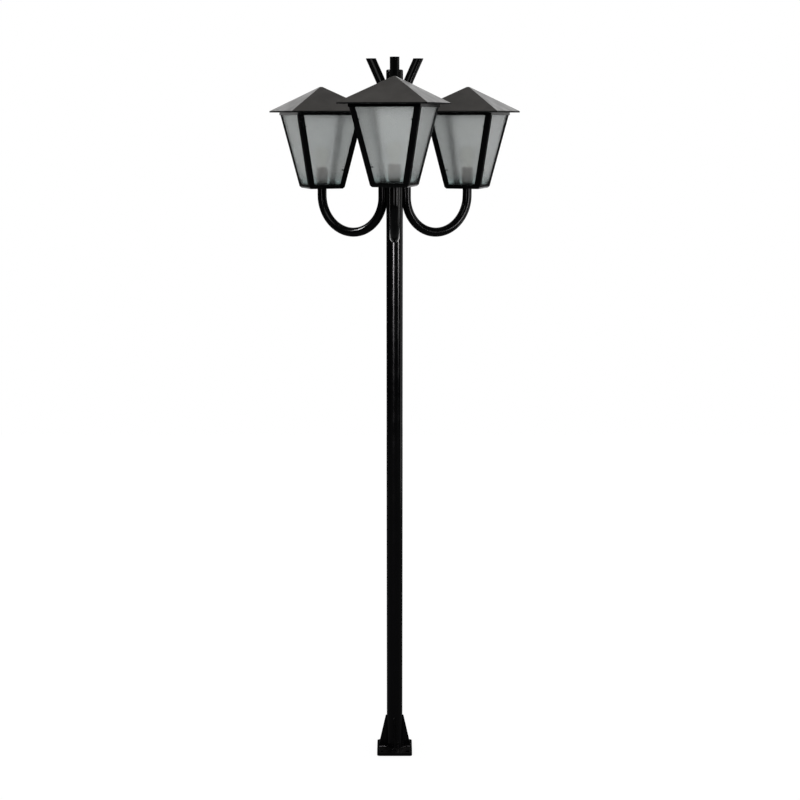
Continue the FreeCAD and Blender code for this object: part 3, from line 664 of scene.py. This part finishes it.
def sweep(shape, path, outward, radius, sides, swell, closed=False):
    """Lay a cord along a path of points; swell gives its thickness at a point's number and an angle."""
    count = len(path)
    rings = []
    for index, (point, out) in enumerate(zip(path, outward)):
        before = path[index - 1] if index or closed else point
        after = path[(index + 1) % count] if index + 1 < count or closed else point
        along = (after - before).normalized()
        side = along.cross(out).normalized()
        up = side.cross(along)
        ring = []
        for corner in range(sides):
            turn = 2 * math.pi * corner / sides
            reach = radius * swell(index, turn)
            ring.append(shape.verts.new(point + reach * (math.cos(turn) * up + math.sin(turn) * side)))
        rings.append(ring)
    pairs = list(zip(rings, rings[1:])) + ([(rings[-1], rings[0])] if closed else [])
    for first, second in pairs:
        for corner in range(sides):
            follower = (corner + 1) % sides
            shape.faces.new((first[corner], first[follower], second[follower], second[corner]))
    if not closed:
        shape.faces.new(rings[0])
        shape.faces.new(rings[-1])


# ---------------------------------------------------------------- weld beads

POLE_RADIUS = solids_of("pole_tube")[0][1].x
ARM_GAP = 1.8 * MM  # between the post and an arm
SEAM_WIDTH = 10.0 * MM  # of the strip of weld that fills that gap
SEAM_BEAD = 2.6 * MM  # radius of the beads along its sides
FOOT_BEAD = 2.4 * MM  # radius of the beads on the foot plate
BEAD_STANDOFF = 0.3  # how far a foot bead's middle lies off the steel, as a share of its radius
BEAD_SIDES = 8
RIPPLE = 2.6 * MM  # length of a ripple along a bead
STEPS_PER_RIPPLE = 4
RIPPLE_DEPTH = 0.10  # as a share of a bead's radius
RIPPLE_BEND = 0.25  # how far a ripple lags at a bead's sides, as a share of its length


def bead_swell(index, turn):
    """Crescent ripples, like a row of coins that lean on each other."""
    phase = (index / STEPS_PER_RIPPLE + RIPPLE_BEND * math.cos(turn)) % 1.0
    return 1.0 - RIPPLE_DEPTH + RIPPLE_DEPTH * math.sqrt(1.0 - (2.0 * phase - 1.0) ** 2)


def straight_bead(shape, start, end, out, radius):
    """Lay a weld bead from one point to another."""
    steps = max(2, round((end - start).length / RIPPLE * STEPS_PER_RIPPLE))
    path = [start.lerp(end, step / steps) for step in range(steps + 1)]
    sweep(shape, path, [out] * len(path), radius, BEAD_SIDES, bead_swell)


def ring_bead(shape, centre, reach, radius):
    """Lay a weld bead around a tube's foot."""
    steps = round(2 * math.pi * reach / RIPPLE) * STEPS_PER_RIPPLE
    turns = [2 * math.pi * step / steps for step in range(steps)]
    outs = [Vector((math.cos(turn), math.sin(turn), 0.0)) for turn in turns]
    path = [centre + reach * out for out in outs]
    sweep(shape, path, outs, radius, BEAD_SIDES, bead_swell, closed=True)


def weld_arms():
    """Show the seams between post and arms with a rippled bead along each of their sides."""
    shape = copy_of("arm_welds")
    for low, high in solids_of("arm_welds"):
        middle = (low + high) / 2
        radial = Vector((middle.x, middle.y, 0.0)).normalized()
        across = Vector((-radial.y, radial.x, 0.0))
        for sign in (-1.0, 1.0):
            foot = (POLE_RADIUS + ARM_GAP / 2) * radial + sign * SEAM_WIDTH / 2 * across
            straight_bead(shape, foot + (low.z + SEAM_BEAD) * UP, foot + (high.z - SEAM_BEAD) * UP,
                          sign * across, SEAM_BEAD)
    stand_in("arm_welds", shape)


def weld_foot():
    """Beads around the post's foot and along both edges of each stiffener."""
    shape = bmesh.new()
    floor = solids_of("base_plate")[0][1].z
    off = BEAD_STANDOFF * FOOT_BEAD
    seam = (floor + off) * UP
    ring_bead(shape, seam, POLE_RADIUS + off, FOOT_BEAD)
    for low, high in solids_of("base_gussets"):
        middle = (low + high) / 2
        lengthwise = max(range(2), key=lambda axis: abs(middle[axis]))
        radial = Vector((0.0, 0.0, 0.0))
        radial[lengthwise] = math.copysign(1.0, middle[lengthwise])
        across = Vector((-radial.y, radial.x, 0.0))
        half = (high - low)[1 - lengthwise] / 2
        tip = max(abs(low[lengthwise]), abs(high[lengthwise]))
        for sign in (-1.0, 1.0):
            beside = sign * (half + off) * across
            inner = (POLE_RADIUS + off) * radial + beside
            straight_bead(shape, inner + (floor + FOOT_BEAD) * UP, inner + (high.z - 2 * FOOT_BEAD) * UP,
                          radial + sign * across, FOOT_BEAD)
            straight_bead(shape, (POLE_RADIUS + FOOT_BEAD) * radial + beside + seam,
                          (tip - FOOT_BEAD) * radial + beside + seam, sign * across + UP, FOOT_BEAD)
    LOOSE.append(add_piece("foot_beads", mesh_from("foot_beads", shape), "base_plate"))


# ---------------------------------------------------------------- threads

# Each thread has its pitch, its ridge's radius, the bare length at both ends, the points of a turn and the
# sides of its ridge.
LAMP_THREAD = {"pitch": 3.62 * MM, "ridge": 0.6 * MM, "start": 4.0 * MM, "points": 40, "sides": 8}
SHELL_THREAD = {"pitch": 3.62 * MM, "ridge": 0.7 * MM, "start": 2.0 * MM, "points": 40, "sides": 8}
NIPPLE_THREAD = {"pitch": 1.0 * MM, "ridge": 0.3 * MM, "start": 0.6 * MM, "points": 24, "sides": 6}
RIDGE_SUNK = 0.4  # how deep a ridge's middle lies in its cylinder, as a share of its radius
THIN_END = 0.25  # a ridge's thickness at its very ends, as a share of its full one
SWELLING = 1.5  # what that share gains per turn away from them


def thread(shape, low, high, reach, pitch, ridge, start, points, sides):
    """Wind a rounded ridge around an upright cylinder that fills a box."""
    centre = (low + high) / 2
    length = high.z - low.z - 2 * start
    steps = round(length / pitch * points)
    path, outs = [], []
    for step in range(steps + 1):
        turn = 2 * math.pi * step / points
        out = Vector((math.cos(turn), math.sin(turn), 0.0))
        outs.append(out)
        path.append(Vector((centre.x, centre.y, low.z + start + pitch * step / points)) + reach * out)

    def taper(index, turn):
        """Thicken the ridge from both its ends."""
        ends = min(index, steps - index) / points
        return min(1.0, THIN_END + SWELLING * ends)

    sweep(shape, path, outs, ridge, sides, taper)


def threaded(node, pitch, ridge, start, points, sides):
    """Show a node with a thread around each of its solids."""
    shape = copy_of(node)
    for low, high in solids_of(node):
        reach = (high.x - low.x) / 2 - RIDGE_SUNK * ridge
        thread(shape, low, high, reach, pitch, ridge, start, points, sides)
    stand_in(node, shape)


# ---------------------------------------------------------------- the whole

# How wide the rounded edges of sheet and plate are.
LANTERN_EDGES = {
    "_corner_posts": 0.7 * MM, "_top_frame": 0.9 * MM, "_bottom_tray": 1.2 * MM, "_pane_clips": 0.4 * MM,
    "_roof": 1.3 * MM, "_roof_collar": 0.4 * MM,
}
PLATE_EDGE = 1.2 * MM
GUSSET_EDGE = 0.9 * MM

for lantern in LANTERNS:
    for ending, width in LANTERN_EDGES.items():
        rounded(lantern + ending, width)
    threaded(lantern + "_lamp_cap", **LAMP_THREAD)
    threaded(lantern + "_contact_shell", **SHELL_THREAD)
rounded("base_plate", PLATE_EDGE)
rounded("base_gussets", GUSSET_EDGE)
threaded("threaded_nipples", **NIPPLE_THREAD)
weld_arms()
weld_foot()

for node in frame["nodes"]:
    if node not in SHOWN:
        finish_node(node)

for node, slot in NODE_SLOT.items():
    if slot == "post_paint":
        # in the photograph nothing of the post shows through the frosted panes in front of it
        hide_from(SHOWN.get(node, frame["nodes"][node]), "transmission")

make_camera()
make_lights()
make_world()
make_floor()
make_flag()
bpy.context.scene.view_settings.view_transform = "Standard"
